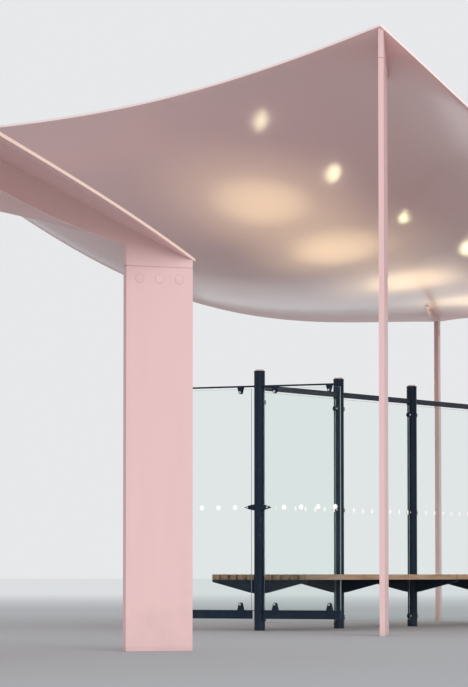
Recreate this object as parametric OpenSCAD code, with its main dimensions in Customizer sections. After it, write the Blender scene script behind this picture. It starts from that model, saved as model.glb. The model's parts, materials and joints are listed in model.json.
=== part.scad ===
// Bus shelter: two curved steel roof leaves on blade columns, over a glazed
// spine wall with end screens and a double-sided timber bench.
// +X runs along the spine wall, +Z is up, and the origin is at the foot of post 1.

/* [Main roof] */
// Place of the high peak corner along the spine
main_x = -2160; // [-2600:10:-1800]
// Place of the high peak corner across the spine
main_y = -2370; // [-2700:10:-2000]
// Direction of the edge from the peak to the left corner
main_turn = 68.5; // [60:0.5:75]
// Angle between the two edges that meet at the peak
main_corner = 90; // [84:1:96]
// Top heights along the high edge, from the peak to the left corner
main_row_1 = [5150, 4880, 4690, 4840, 4870]; // [1600:10:7200]
// Handle heights of the second row
main_row_2 = [4100, 5600, 2520, 2050, 3930]; // [1600:10:7200]
// Handle heights of the third row
main_row_3 = [2750, 4910, 3770, 2930, 2920]; // [1600:10:7200]
// Handle heights of the fourth row
main_row_4 = [2850, 3980, 3850, 3450, 3300]; // [1600:10:7200]
// Top heights along the low edge, from the right corner to the rear corner
main_row_5 = [2830, 2840, 2970, 3470, 3350]; // [1600:10:7200]

/* [Wing roof] */
// Place of the low corner along the spine
wing_x = -7840; // [-8600:10:-7600]
// Place of the low corner across the spine
wing_y = -3865; // [-4200:5:-3400]
// Direction of the near edge from the low corner
wing_turn = 182.5; // [176:0.5:188]
// Angle between the two edges that meet at the low corner
wing_corner = 72; // [66:1:84]
// Top heights along the near edge, from the low corner to the front corner
wing_row_1 = [2660, 3300, 3500, 4300]; // [2400:10:6400]
// Handle heights of the second row
wing_row_2 = [3400, 5700, 4600, 4500]; // [2400:10:6400]
// Handle heights of the third row
wing_row_3 = [3500, 4600, 4500, 4200]; // [2400:10:6400]
// Top heights along the far edge, from the back corner to the outer corner
wing_row_4 = [4300, 4500, 4200, 3600]; // [2400:10:6400]

/* [Roof sheet] */
// Length of each roof edge in plan
roof_side = 7070; // [6400:10:7800]
// Thickness of the roof shell at its edge
roof_t = 24; // [16:1:40]

/* [Columns] */
// Width of a blade column
blade_w = 500; // [400:5:600]
// Thickness of a blade column
blade_t = 46; // [36:1:60]
// Setback of a column's outer edge from the roof's corner point
blade_inset = 32; // [30:1:60]
// Height and depth of the groove around a column at its joint
joint_gap = 4; // [2:0.5:6]
// Least height of the column head above its joint
head_h = 56; // [40:1:120]
// Least height of the head's inner edge between the joint and the rib
head_lip = 12; // [8:1:60]
// Distance from a roof corner to the end of a long rib
rib_tip = 2500; // [1800:10:3000]
// Distance from a roof corner to the end of a short rib
rib_tip_short = 860; // [700:10:1400]
// Depth of the ribs at the end
rib_end = 20; // [12:1:40]
// Thickness of the ribs at the end
rib_end_t = 24; // [16:1:36]
// Depth of the main roof's ribs where they leave the column
main_rib_root = 30; // [24:1:80]
// Depth of the main roof's ribs at half their length
main_rib_mid = 66; // [40:1:160]
// Depth of the wing roof's ribs where they leave the column
wing_rib_root = 112; // [80:2:160]
// Depth of the wing roof's ribs at half their length
wing_rib_mid = 200; // [120:5:260]
// Weld gap between a column head and the roof shell
weld_gap = 1; // [0.5:0.5:3]
// Diameter of the bolt covers below each joint
cover_d = 68; // [50:1:80]
// Depth of the bolt covers below the joint
cover_drop = 82; // [60:1:120]
// Distance between bolt covers
cover_pitch = 150; // [100:1:160]
// How far a bolt cover stands off the blade
cover_t = 2; // [1:0.5:4]

/* [Spine wall] */
// Distance between posts
bay = 1560; // [1300:10:1700]
// Outer diameter of a post
post_d = 100; // [90:1:120]
// Height of a post to the top of its lamp
post_h = 2400; // [2350:5:2600]
// Thickness of the lamp lens on a post
lens_t = 15; // [8:1:25]
// Diameter of the lamp lens
lens_d = 78; // [70:1:90]
// Height of the top rail's upper face
rail_top = 2260; // [2240:5:2300]
// Height of the top rail section
rail_h = 50; // [36:1:70]
// Thickness of the top rail section
rail_w = 32; // [24:1:44]
// Thickness of the glass
glass_t = 12; // [8:1:16]
// Clear gap between a post or rail and the glass
glass_gap = 16; // [10:1:24]
// Height of the lower edge of the spine glass
glass_foot = 70; // [50:1:84]
// Height of the lowest row of clips
clip_low = 105; // [100:1:130]
// Height of the middle row of clips
clip_mid = 1130; // [900:5:1300]
// Height of the highest row of clips
clip_high = 2100; // [2000:5:2150]
// Height of a clip
clip_h = 40; // [30:1:50]
// Thickness of a clip across the glass
clip_w = 34; // [28:1:44]
// How far a clip reaches over the glass
clip_grip = 26; // [18:1:36]

/* [End screens] */
// Distance from a post's centre to an end screen's free edge
screen_reach = 860; // [700:5:1000]
// Distance of the end glass outside the post's centre
screen_out = 30; // [26:1:34]
// Diameter of the rod along the top of an end screen
rod_d = 16; // [12:1:24]
// Height of the rod's centre
rod_z = 2245; // [2230:1:2300]
// Drop from the rod to the glass
rod_drop = 24; // [20:1:40]
// Height of the bottom rail's upper face
sill_top = 188; // [170:1:220]
// Height of the bottom rail section
sill_h = 80; // [60:1:100]
// Thickness of the bottom rail section
sill_w = 36; // [30:1:40]
// Thickness of the plate on top of the bottom rail
sill_plate = 6; // [4:1:10]
// How far that plate runs past the rail's end
sill_over = 10; // [4:1:20]
// Gap between the bottom rail and the end glass
sill_gap = 3; // [2:1:8]
// Distance of the outer clamps from the glass edge
clamp_margin = 115; // [80:1:160]
// Length of a clamp at its rod or rail
clamp_l = 56; // [40:1:80]
// Height of a clamp from its rod or rail to its tip
clamp_h = 69; // [56:1:80]
// Diameter of a clamp's round tip
clamp_tip = 32; // [24:1:40]
// Length of the lens-shaped middle holder
holder_l = 270; // [240:1:300]
// Height of the middle holder
holder_h = 59; // [48:1:70]

/* [Bench] */
// Height of the seat
seat_h = 515; // [430:5:540]
// Width of a slat
slat_w = 70; // [60:1:80]
// Thickness of a slat
slat_t = 50; // [36:1:56]
// Gap between slats
slat_gap = 22; // [12:1:30]
// Number of slats on each side
slat_count = 5; // [4:1:6]
// Gap between the posts and the inner slats
slat_clear = 6; // [4:1:20]
// How far the slats run past the end posts
seat_over = 14; // [6:1:16]
// Gap between the two lengths of bench
seat_joint = 14; // [6:1:18]
// Depth of a bench bracket at the post
bracket_h = 126; // [90:1:134]
// Depth of a bench bracket at its tips
bracket_tip = 20; // [8:1:30]
// Thickness of a bench bracket
bracket_t = 24; // [20:1:40]

/* [Hidden] */

pink = [0.86, 0.68, 0.66];
navy = [0.10, 0.12, 0.17];
clear = [0.72, 0.82, 0.80, 0.45];
timber = [0.55, 0.38, 0.25];

posts = 5;
cells = 9;
main = [[main_x, main_y], main_turn, main_corner,
    [main_row_1, main_row_2, main_row_3, main_row_4, main_row_5], [main_rib_root, main_rib_mid]];
wing = [[wing_x, wing_y], wing_turn, wing_corner,
    [wing_row_1, wing_row_2, wing_row_3, wing_row_4], [wing_rib_root, wing_rib_mid]];
corners = [[0, 0], [1, 0], [0, 1], [1, 1]];
blade_end = blade_inset + blade_w;
// Sections of a head to each cell of the roof
head_steps = 3;

// Bezier curve through the first and last of v, at t
function bezier(v, t) =
    len(v) == 1 ? v[0] : bezier([for (i = [1:len(v) - 1]) (1 - t) * v[i - 1] + t * v[i]], t);
// Unit vector of a direction in plan
function heading(d) = [cos(d), sin(d)];
// Plan point of a leaf at its shares a and b of the two edges
function leaf_xy(leaf, a, b) =
    leaf[0] + roof_side * (a * heading(leaf[1]) + b * heading(leaf[1] - leaf[2]));
// Height of a leaf's top face at the shares a and b
function leaf_top(leaf, a, b) = bezier([for (row = leaf[3]) bezier(row, a)], b);
// Height of the top face at the grid point i, j
function grid_top(leaf, i, j) = leaf_top(leaf, i / cells / 2, j / cells / 2);
// True where the triangles' long sides run from the near left to the far right of the grid
function same_way(i, j) = (i < cells) == (j < cells);
// Height of the top face as built from triangles, at g, counted in grid cells
function built_top(leaf, g) =
    let (i = floor(min(max(g[0], 0), 2 * cells - 1)), j = floor(min(max(g[1], 0), 2 * cells - 1)),
        u = g[0] - i, v = g[1] - j,
        z00 = grid_top(leaf, i, j), z10 = grid_top(leaf, i + 1, j),
        z01 = grid_top(leaf, i, j + 1), z11 = grid_top(leaf, i + 1, j + 1))
    same_way(i, j)
        ? (u > v ? z00 + u * (z10 - z00) + v * (z11 - z10) : z00 + v * (z01 - z00) + u * (z11 - z01))
        : (u + v < 1 ? z00 + u * (z10 - z00) + v * (z01 - z00)
            : z11 + (1 - u) * (z01 - z11) + (1 - v) * (z10 - z11));
// Cross product of two plan vectors
function turn(u, v) = u[0] * v[1] - u[1] * v[0];
// Underside of a leaf above a plan point
function leaf_under(leaf, p) =
    let (u = heading(leaf[1]), v = heading(leaf[1] - leaf[2]), w = 2 * cells * (p - leaf[0]) / roof_side)
    built_top(leaf, [turn(w, v), turn(u, w)] / turn(u, v)) - roof_t;
// Plan point of a leaf's corner, and the direction from it to the leaf's middle
function corner_xy(leaf, c) = leaf_xy(leaf, c[0], c[1]);
function corner_dir(leaf, c) =
    let (v = leaf_xy(leaf, 0.5, 0.5) - corner_xy(leaf, c))
    atan2(v[1], v[0]);
// Underside of a leaf at a distance m inward from a corner and s to the side
function under_at(leaf, c, m, s) =
    leaf_under(leaf, corner_xy(leaf, c) + m * heading(corner_dir(leaf, c))
        + s * heading(corner_dir(leaf, c) + 90));
// Height of the joint between a blade and its head, clear of the roof and of the rib's root
function joint_z(leaf, c) =
    min(under_at(leaf, c, blade_inset, 0) - head_h,
        under_at(leaf, c, blade_end, 0) - leaf[4][0] - head_lip);

// One quarter of a roof leaf, between the shares a0, b0 and half an edge further
module roof_panel(leaf, a0, b0) {
    n = cells + 1;
    grid = [for (j = [0:cells], i = [0:cells]) [a0 + i / cells / 2, b0 + j / cells / 2]];
    top = [for (g = grid) let (p = leaf_xy(leaf, g[0], g[1])) [p[0], p[1], leaf_top(leaf, g[0], g[1])]];
    low = [for (p = top) p - [0, 0, roof_t]];
    m = n * n;
    upper = [for (j = [0:cells - 1], i = [0:cells - 1]) let (k = j * n + i)
        each a0 == b0 ? [[k, k + 1, k + n + 1], [k, k + n + 1, k + n]]
            : [[k, k + 1, k + n], [k + 1, k + n + 1, k + n]]];
    under = [for (f = upper) [f[2] + m, f[1] + m, f[0] + m]];
    rim = concat([for (i = [0:cells - 1]) i], [for (j = [0:cells - 1]) j * n + cells],
        [for (i = [cells:-1:1]) cells * n + i], [for (j = [cells:-1:1]) j * n]);
    walls = [for (q = [0:len(rim) - 1]) let (k = rim[q], l = rim[(q + 1) % len(rim)])
        each [[k, k + m, l + m], [k, l + m, l]]];
    color(pink) polyhedron(concat(top, low), concat(upper, under, walls), convexity = 6);
}

// Blade of a column, from the ground to its bolted joint, with a groove below the joint
module blade(leaf, c) {
    p = corner_xy(leaf, c);
    h = joint_z(leaf, c);
    color(pink)
    translate([p[0], p[1], 0])
    rotate(corner_dir(leaf, c))
    translate([blade_inset, -blade_t / 2, 0]) {
        cube([blade_w, blade_t, h - joint_gap]);
        translate([joint_gap, joint_gap, h - 2 * joint_gap])
        cube([blade_w - 2 * joint_gap, blade_t - 2 * joint_gap, 2 * joint_gap]);
    }
}

// Depth of a leaf's ribs at the share s of their length
function rib_at(leaf, s) =
    let (root = leaf[4][0], mid = leaf[4][1])
    (1 - s) * root + s * rib_end + 4 * s * (1 - s) * (mid - (root + rib_end) / 2);
// Distances from the corner at which a head is cut into sections, up to the tip of its rib
function stations(step, tip) =
    let (all = [for (m = [step:step:tip - step / 2]) m])
    concat([blade_inset], [for (m = all) if (m > blade_inset && m < blade_end - joint_gap) m],
        [blade_end], [for (m = all) if (m > blade_end + joint_gap) m], [tip]);

// Head of a column, and the rib that carries it into the roof
module head(leaf, c, tip) {
    p = corner_xy(leaf, c);
    joint = joint_z(leaf, c);
    at = stations(norm(leaf_xy(leaf, 0.5, 0.5) - p) / cells / head_steps, tip);
    last = len(at) - 1;
    web = len([for (m = at) if (m < blade_end) m]) - 1;
    seat = function(m, s) [m, s, under_at(leaf, c, m, s) - weld_gap];
    points = [for (m = at)
        let (s = max(0, m - blade_end) / (tip - blade_end), w = (blade_t + s * (rib_end_t - blade_t)) / 2,
            low = m < blade_end ? joint : under_at(leaf, c, m, 0) - rib_at(leaf, s))
        each [[m, -w, low], [m, w, low], seat(m, w), seat(m, 0), seat(m, -w)]];
    // The two points where the web's lower edge meets its inner edge
    foot = len(points);
    ends = [[blade_end, -blade_t / 2, joint], [blade_end, blade_t / 2, joint]];
    over = [for (i = [0:last - 1]) let (k = 5 * i)
        each [[k + 4, k + 3, k + 8], [k + 4, k + 8, k + 9], [k + 3, k + 2, k + 7], [k + 3, k + 7, k + 8]]];
    around = [for (i = [0:last - 1]) let (k = 5 * i)
        each i == web
            ? [[k, k + 4, k + 9, k + 5, foot], [k + 1, foot + 1, k + 6, k + 7, k + 2],
                [k + 1, k, foot, foot + 1], [foot, k + 5, k + 6, foot + 1]]
            : [[k, k + 4, k + 9, k + 5], [k + 1, k + 6, k + 7, k + 2], [k + 1, k, k + 5, k + 6]]];
    caps = let (k = 5 * last)
        [[0, 1, 3], [1, 2, 3], [0, 3, 4], [k + 3, k + 1, k], [k + 3, k + 2, k + 1], [k + 4, k + 3, k]];
    color(pink)
    translate([p[0], p[1], 0])
    rotate(corner_dir(leaf, c))
    polyhedron(concat(points, ends), concat(over, around, caps), convexity = 6);
}

// Three covers on both faces of a blade, below its joint
module covers(leaf, c) {
    p = corner_xy(leaf, c);
    translate([p[0], p[1], joint_z(leaf, c) - cover_drop])
    rotate(corner_dir(leaf, c))
    for (i = [-1:1], s = [0, 1])
        translate([blade_inset + blade_w / 2 + i * cover_pitch, 0, 0])
        rotate([90, 0, s * 180])
        translate([0, 0, blade_t / 2])
        cylinder(d = cover_d, h = cover_t, $fn = 48);
}

module bolt_covers() {
    color(pink)
    for (leaf = [main, wing], c = corners) covers(leaf, c);
}

module post(i) {
    color(navy)
    translate([i * bay, 0, 0])
    cylinder(d = post_d, h = post_h - lens_t, $fn = 64);
}

module post_lamps() {
    color([0.95, 0.88, 0.80])
    for (i = [0:posts - 1])
        translate([i * bay, 0, post_h - lens_t])
        cylinder(d = lens_d, h = lens_t, $fn = 64);
}

// Removes the posts from what is coped to them
module coped() {
    difference() {
        children();
        for (i = [0:posts - 1])
            translate([i * bay, 0, -1])
            cylinder(d = post_d, h = post_h + 2, $fn = 64);
    }
}

module top_rails() {
    color(navy)
    coped()
    translate([0, -rail_w / 2, rail_top - rail_h])
    cube([(posts - 1) * bay, rail_w, rail_h]);
}

module spine_pane(i) {
    inset = post_d / 2 + glass_gap;
    color(clear)
    translate([i * bay + inset, -glass_t / 2, glass_foot])
    cube([bay - 2 * inset, glass_t, rail_top - rail_h - glass_gap - glass_foot]);
}

// Jaw that holds the spine glass to a post, on the side s of the post
module clip(s) {
    reach = post_d / 2 + glass_gap + clip_grip;
    difference() {
        translate([s > 0 ? 0 : -reach, -clip_w / 2, -clip_h / 2])
        cube([reach, clip_w, clip_h]);
        translate([s > 0 ? reach - clip_grip : -reach, -glass_t / 2, -clip_h])
        cube([clip_grip, glass_t, 2 * clip_h]);
    }
}

module glass_clips() {
    color(navy)
    coped()
    for (z = [clip_low, clip_mid, clip_high], i = [0:posts - 2]) {
        translate([i * bay, 0, z]) clip(1);
        translate([(i + 1) * bay, 0, z]) clip(-1);
    }
}

// Sides of an end screen, and where its glass starts and ends
screen_inner = post_d / 2 + glass_gap;
screen_low = sill_top + sill_gap;
screen_high = rod_z - rod_drop;

module screen_glass() {
    color(clear)
    for (s = [-1, 1])
        translate([-glass_t / 2, s > 0 ? screen_inner : -screen_reach, screen_low])
        cube([glass_t, screen_reach - screen_inner, screen_high - screen_low]);
}

module screen_rails() {
    color(navy) {
        for (s = [-1, 1])
            translate([-sill_w / 2, s > 0 ? screen_inner : -screen_reach, sill_top - sill_h])
            cube([sill_w, screen_reach - screen_inner, sill_h]);
        translate([-sill_w / 2, -screen_reach - sill_over, sill_top - sill_plate])
        cube([sill_w, 2 * (screen_reach + sill_over), sill_plate]);
        translate([0, -screen_reach + clamp_margin / 2, rod_z])
        rotate([-90, 0, 0])
        cylinder(d = rod_d, h = 2 * screen_reach - clamp_margin, $fn = 24);
    }
}

// Places an end screen outside the first post or the last one
module at_end(far) {
    translate([far ? (posts - 1) * bay + screen_out : -screen_out, 0, 0]) children();
}

// Upright clamp with a round tip, slotted for a glass edge at the height gap
module edge_clamp(gap) {
    neck = clamp_h - clamp_tip / 2;
    difference() {
        translate([-clip_w / 2, 0, 0])
        rotate([90, 0, 90])
        linear_extrude(clip_w)
        union() {
            polygon([[-clamp_l / 2, 0], [clamp_l / 2, 0], [clamp_l / 2, rod_d / 2], [clamp_tip / 2, neck],
                [-clamp_tip / 2, neck], [-clamp_l / 2, rod_d / 2]]);
            translate([0, neck]) circle(d = clamp_tip, $fn = 48);
        }
        translate([-glass_t / 2, -clamp_l, gap])
        cube([glass_t, 2 * clamp_l, clamp_h]);
    }
}

// Lens-shaped plate that holds both panes of an end screen to the post
module holder() {
    r = (pow(holder_l, 2) + pow(holder_h, 2)) / (4 * holder_h);
    difference() {
        translate([-clip_w / 2, 0, clip_mid])
        rotate([90, 0, 90])
        linear_extrude(clip_w)
        intersection() {
            translate([0, holder_h / 2 - r]) circle(r = r, $fn = 180);
            translate([0, r - holder_h / 2]) circle(r = r, $fn = 180);
        }
        for (s = [-1, 1])
            translate([-glass_t / 2, s > 0 ? screen_inner : -screen_inner - holder_l, clip_mid - holder_h])
            cube([glass_t, holder_l, 2 * holder_h]);
    }
}

module screen_clamps() {
    places = [screen_inner + clamp_margin, screen_reach - clamp_margin];
    color(navy)
    coped()
    for (far = [false, true]) at_end(far) {
        holder();
        for (s = [-1, 1], y = places) translate([0, s * y, 0]) {
            difference() {
                translate([0, 0, rod_z]) mirror([0, 0, 1]) edge_clamp(rod_drop);
                translate([0, -clamp_l, rod_z])
                rotate([-90, 0, 0])
                cylinder(d = rod_d, h = 2 * clamp_l, $fn = 24);
            }
            translate([0, 0, sill_top]) edge_clamp(sill_gap);
        }
    }
}

// Length of bench from x0 to x1, as slats on both sides of the posts
module bench_seat(x0, x1) {
    start = post_d / 2 + slat_clear;
    color(timber)
    for (s = [-1, 1], k = [0:slat_count - 1]) {
        y = start + k * (slat_w + slat_gap);
        translate([x0, s > 0 ? y : -y - slat_w, seat_h - slat_t])
        cube([x1 - x0, slat_w, slat_t]);
    }
}

seat_half = post_d / 2 + slat_clear + slat_count * (slat_w + slat_gap) - slat_gap;
seat_mid = (posts - 1) / 2 * bay;

// Two arms under the seat, with an arc for their lower edge
module bench_brackets() {
    drop = bracket_h - bracket_tip;
    r = (pow(seat_half, 2) + pow(drop, 2)) / (2 * drop);
    color(navy)
    coped()
    for (i = [0:posts - 1])
        translate([i * bay - bracket_t / 2, 0, seat_h - slat_t])
        rotate([90, 0, 90])
        linear_extrude(bracket_t)
        intersection() {
            translate([-seat_half, -bracket_h]) square([2 * seat_half, bracket_h]);
            translate([0, r - bracket_h]) circle(r = r, $fn = 180);
        }
}

roof_panel(main, 0, 0);  // main_roof_peak
roof_panel(main, 0.5, 0);  // main_roof_left
roof_panel(main, 0, 0.5);  // main_roof_right
roof_panel(main, 0.5, 0.5);  // main_roof_rear
roof_panel(wing, 0, 0);  // wing_roof_low
roof_panel(wing, 0.5, 0);  // wing_roof_front
roof_panel(wing, 0, 0.5);  // wing_roof_back
roof_panel(wing, 0.5, 0.5);  // wing_roof_outer
blade(main, [0, 0]);  // peak_column
blade(main, [1, 0]);  // left_column
blade(main, [0, 1]);  // right_column
blade(main, [1, 1]);  // rear_column
head(main, [0, 0], rib_tip_short);  // peak_head
head(main, [1, 0], rib_tip_short);  // left_head
head(main, [0, 1], rib_tip);  // right_head
head(main, [1, 1], rib_tip);  // rear_head
blade(wing, [0, 0]);  // wing_low_column
blade(wing, [1, 0]);  // wing_front_column
blade(wing, [0, 1]);  // wing_back_column
blade(wing, [1, 1]);  // wing_outer_column
head(wing, [0, 0], rib_tip);  // wing_low_head
head(wing, [1, 0], rib_tip);  // wing_front_head
head(wing, [0, 1], rib_tip);  // wing_back_head
head(wing, [1, 1], rib_tip);  // wing_outer_head
bolt_covers();
post(0);  // post_1
post(1);  // post_2
post(2);  // post_3
post(3);  // post_4
post(4);  // post_5
post_lamps();
top_rails();
spine_pane(0);  // spine_pane_1
spine_pane(1);  // spine_pane_2
spine_pane(2);  // spine_pane_3
spine_pane(3);  // spine_pane_4
glass_clips();
at_end(false) screen_glass();  // near_screen_glass
coped() at_end(false) screen_rails();  // near_screen_rails
at_end(true) screen_glass();  // far_screen_glass
coped() at_end(true) screen_rails();  // far_screen_rails
screen_clamps();
bench_seat(-seat_over, seat_mid - seat_joint / 2);  // bench_seat_near
bench_seat(seat_mid + seat_joint / 2, (posts - 1) * bay + seat_over);  // bench_seat_far
bench_brackets();
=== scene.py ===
"""Finishes, fittings, light and camera for a bus shelter with a curved steel roof."""
import json
import math

import bpy
from bpy.props import FloatProperty, FloatVectorProperty, IntProperty, PointerProperty
from mathutils import Matrix, Vector

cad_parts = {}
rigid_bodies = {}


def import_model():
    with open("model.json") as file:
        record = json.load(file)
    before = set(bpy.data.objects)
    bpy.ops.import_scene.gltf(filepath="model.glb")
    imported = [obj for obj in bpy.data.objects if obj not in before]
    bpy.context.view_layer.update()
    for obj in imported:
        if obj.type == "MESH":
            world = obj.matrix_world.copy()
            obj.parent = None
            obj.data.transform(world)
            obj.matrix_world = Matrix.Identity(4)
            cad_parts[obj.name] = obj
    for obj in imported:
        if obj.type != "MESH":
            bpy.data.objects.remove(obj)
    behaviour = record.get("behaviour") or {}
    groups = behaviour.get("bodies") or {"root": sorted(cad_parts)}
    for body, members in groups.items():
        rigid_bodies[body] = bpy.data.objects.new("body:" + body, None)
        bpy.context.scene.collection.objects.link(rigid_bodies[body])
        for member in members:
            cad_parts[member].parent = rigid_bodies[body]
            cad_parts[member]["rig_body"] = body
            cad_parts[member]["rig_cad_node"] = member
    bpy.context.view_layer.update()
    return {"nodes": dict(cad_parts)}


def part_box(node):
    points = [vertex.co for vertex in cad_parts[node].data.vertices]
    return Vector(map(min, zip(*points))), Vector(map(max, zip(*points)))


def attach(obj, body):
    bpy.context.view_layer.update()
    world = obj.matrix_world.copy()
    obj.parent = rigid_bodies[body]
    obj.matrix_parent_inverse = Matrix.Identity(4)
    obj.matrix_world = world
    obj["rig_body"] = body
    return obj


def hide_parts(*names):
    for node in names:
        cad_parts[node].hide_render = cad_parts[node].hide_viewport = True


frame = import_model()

bl_info = {
    "name": "Bus shelter finishes",
    "version": (1, 0, 0),
    "blender": (4, 5, 0),
    "location": "3D View > Sidebar > Shelter",
    "description": "Paint, glass, timber and fittings for a bus shelter",
    "category": "Object",
}

# What the frame gives, in metres.
POSTS = [f"post_{i}" for i in range(1, 6)]
MAIN_LEAF = ("main_roof_peak", "main_roof_left", "main_roof_right", "main_roof_rear")
WING_LEAF = ("wing_roof_low", "wing_roof_front", "wing_roof_back", "wing_roof_outer")
CORNERS = ("peak", "left", "right", "rear", "wing_low", "wing_front", "wing_back", "wing_outer")
PANES = [f"spine_pane_{i}" for i in range(1, 5)]
UP = Vector((0, 0, 1))
# Points of a copied CAD node that are closer than this become one.
MERGE = 0.0002
# Thickness and height of a clip, and the distance of its knob from the post's axis.
CLIP_W = 0.034
CLIP_H = 0.040
CLIP_REACH = 0.079
# Distances of an end screen's clamps from the post's axis.
CLAMP_PLACES = (0.181, 0.745)
# Depth of the upper clamps' studs under the rod's top, and height of the lower ones over the
# foot of the glass.
STUD_DROP = 0.061
STUD_RISE = 0.050
# Number of dots on a pane of an end screen and on a pane of the long wall, and their thickness.
SCREEN_DOTS = 4
PANE_DOTS = 8
DOT_SKIN = 0.0006
# Slats on each side of the bench, half their spacing, and where the two lengths of bench meet.
SLATS = 5
SLAT_STEP = 0.046
BENCH_MIDDLE = 3.12
# Brightness of the line round a bolt cover, as a share of the paint's: painted shade that stands
# for the shadow in the gap round the cover.
SEAM_SHADE = 0.86
# Thickness of the ring round a lens, and how deep its foot is under the post's top.
RING_H = 0.010
RING_SINK = 0.008
# The depths under the lens's top between which its glow starts.
LIT_FROM = 0.00015
LIT_TO = 0.00005
# Height of a beam's start over the lens, its radius there, and how much wider than a pool the
# faint light round it is, and than a glint the soft light round it.
BEAM_LIFT = 0.02
BEAM_RADIUS = 0.035
SKIRT_WIDTH = 2.2
HALO_WIDTH = 2
# The floor's radius, and the distances between which it turns pale.
FLOOR_RADIUS = 400
FLOOR_TURN = (20, 60)
# Tint of the soft light from all sides.
SKY_TINT = (0.96, 0.98, 1.0, 1)
# How far the broad light turns from the view's heading, its slope and its spread in degrees.
SUN_TURN = 0.35
SUN_SLOPE = -0.44
SUN_SPREAD = 40
# Place and size of the ground's soft light, and of the bright patch that the gloss shows.
BOUNCE_PLACE = (2, -5, 0.01)
BOUNCE_SIZE = (34, 18)
SHINE_PLACE = (16.2, 7.9, 0.02)
SHINE_SIZE = (18, 5.5)
# Height of the camera's sensor in millimetres, and how far the camera sees.
SENSOR_HEIGHT = 36
VIEW_DEPTH = 1000


def node_middle(node):
    """Middle of a CAD node's box."""
    low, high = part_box(node)
    return (low + high) / 2


POST_PLACES = [node_middle(post).xy for post in POSTS]
POST_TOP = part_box("post_1")[1].z
LENS_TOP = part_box("post_lamps")[1].z

# Where each lamp's beam falls on the roof, as the photograph shows it.
POOLS = (
    (0.48, 0.26, 4.00), (1.73, 0.09, 3.66), (3.23, 0.07, 3.45), (4.82, 0.14, 3.36),
    (6.24, 0, 3.31))
# How strong each lamp's beam is, as a share of the lamps' power.
BEAM_SHARES = (1.40, 1.05, 1.05, 0.95, 0.95)
# For each glint in the paint: where its light comes from, its radius, where it shows, its size
# there and its share of the power.
GLINTS = (
    ((0.726, 0.894, 2.40), 0.060, (-0.762, -0.438, 4.602), 0.20, 1.6),
    ((1.719, 0.197, 2.40), 0.038, (0.290, -0.616, 4.213), 0.21, 1.2),
    ((3.151, 0.005, 2.40), 0.014, (1.448, -0.762, 3.897), 0.17, 0.85),
    ((4.678, 0.062, 2.40), 0.030, (2.560, -0.889, 3.690), 0.24, 0.65),
)


class RoofSettings(bpy.types.PropertyGroup):
    """Finish of the roof leaves and their columns."""

    paint: FloatVectorProperty(
        name="Paint", description="Colour of the pink steel paint", subtype="COLOR", size=3, min=0,
        max=1, default=(0.78, 0.53, 0.52))
    # The rim colours are painted highlights on the leaves' upright edges.
    main_rim_highlight: FloatVectorProperty(
        name="Main rim", description="Colour of the main leaf's sunlit rim", subtype="COLOR",
        size=3, min=0, max=1, default=(1.0, 0.82, 0.80))
    wing_rim_highlight: FloatVectorProperty(
        name="Wing rim", description="Colour of the wing leaf's sunlit rim", subtype="COLOR",
        size=3, min=0, max=1, default=(0.92, 0.64, 0.51))
    smoothing: IntProperty(
        name="Smoothing steps", description="How often each roof cell is divided", default=2,
        min=1, max=3)
    edge_round: FloatProperty(
        name="Edge rounding", description="Rounding of the sheet's rim", default=0.004, min=0.001,
        max=0.01, unit="LENGTH")
    plate_round: FloatProperty(
        name="Plate rounding", description="Rounding of the columns' edges", default=0.003,
        min=0.001, max=0.01, unit="LENGTH")
    # The line round each bolt cover is painted shade for the gap round it.
    seam: FloatProperty(
        name="Cover seam", description="Width of the dark line round each bolt cover",
        default=0.0035, min=0.001, max=0.01, unit="LENGTH")
    head_lift: FloatProperty(
        name="Head lift", description="How far the heads' tops are raised, into the sheet",
        default=0.008, min=0, max=0.02, unit="LENGTH")


class ScreenSettings(bpy.types.PropertyGroup):
    """Finish and fittings of the glass screens."""

    paint: FloatVectorProperty(
        name="Frame paint", description="Colour of the posts and rails", subtype="COLOR", size=3,
        min=0, max=1, default=(0.010, 0.019, 0.036))
    tint: FloatVectorProperty(
        name="Glass tint", description="Colour that the glass gives to what is behind it",
        subtype="COLOR", size=3, min=0, max=1, default=(0.93, 0.975, 0.96))
    stud_size: FloatProperty(
        name="Stud size", description="Diameter of the steel studs of the clamps and holders",
        default=0.023, min=0.01, max=0.03, unit="LENGTH")
    knob_size: FloatProperty(
        name="Knob size", description="Diameter of the steel knobs of the glass clips",
        default=0.021, min=0.01, max=0.03, unit="LENGTH")
    holder_button: FloatProperty(
        name="Holder stud", description="Distance of the holder's studs from the post's axis",
        default=0.105, min=0.07, max=0.125, unit="LENGTH")
    holder_height: FloatProperty(
        name="Holder height", description="Height of the middle holders and clips", default=1.13,
        min=0.9, max=1.3, unit="LENGTH")
    dot_size: FloatProperty(
        name="Dot size", description="Diameter of the white dots on the glass", default=0.045,
        min=0.02, max=0.08, unit="LENGTH")
    dot_pitch: FloatProperty(
        name="Dot spacing", description="Distance between the dots of the end screens",
        default=0.177, min=0.1, max=0.4, unit="LENGTH")
    spine_pitch: FloatProperty(
        name="Wall dot spacing", description="Distance between the dots of the long wall",
        default=0.193, min=0.1, max=0.4, unit="LENGTH")
    dot_shift: FloatProperty(
        name="Dot shift", description="How far the end screens' rows are off the post's middle",
        default=-0.019, min=-0.04, max=0.04, unit="LENGTH")
    dot_edge: FloatProperty(
        name="Dot margin", description="Distance of the last dot from an end screen's outer edge",
        default=0.072, min=0.045, max=0.2, unit="LENGTH")
    dot_height: FloatProperty(
        name="Dot height", description="Height of the row of dots", default=1.13, min=0.8, max=1.6,
        unit="LENGTH")


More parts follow.
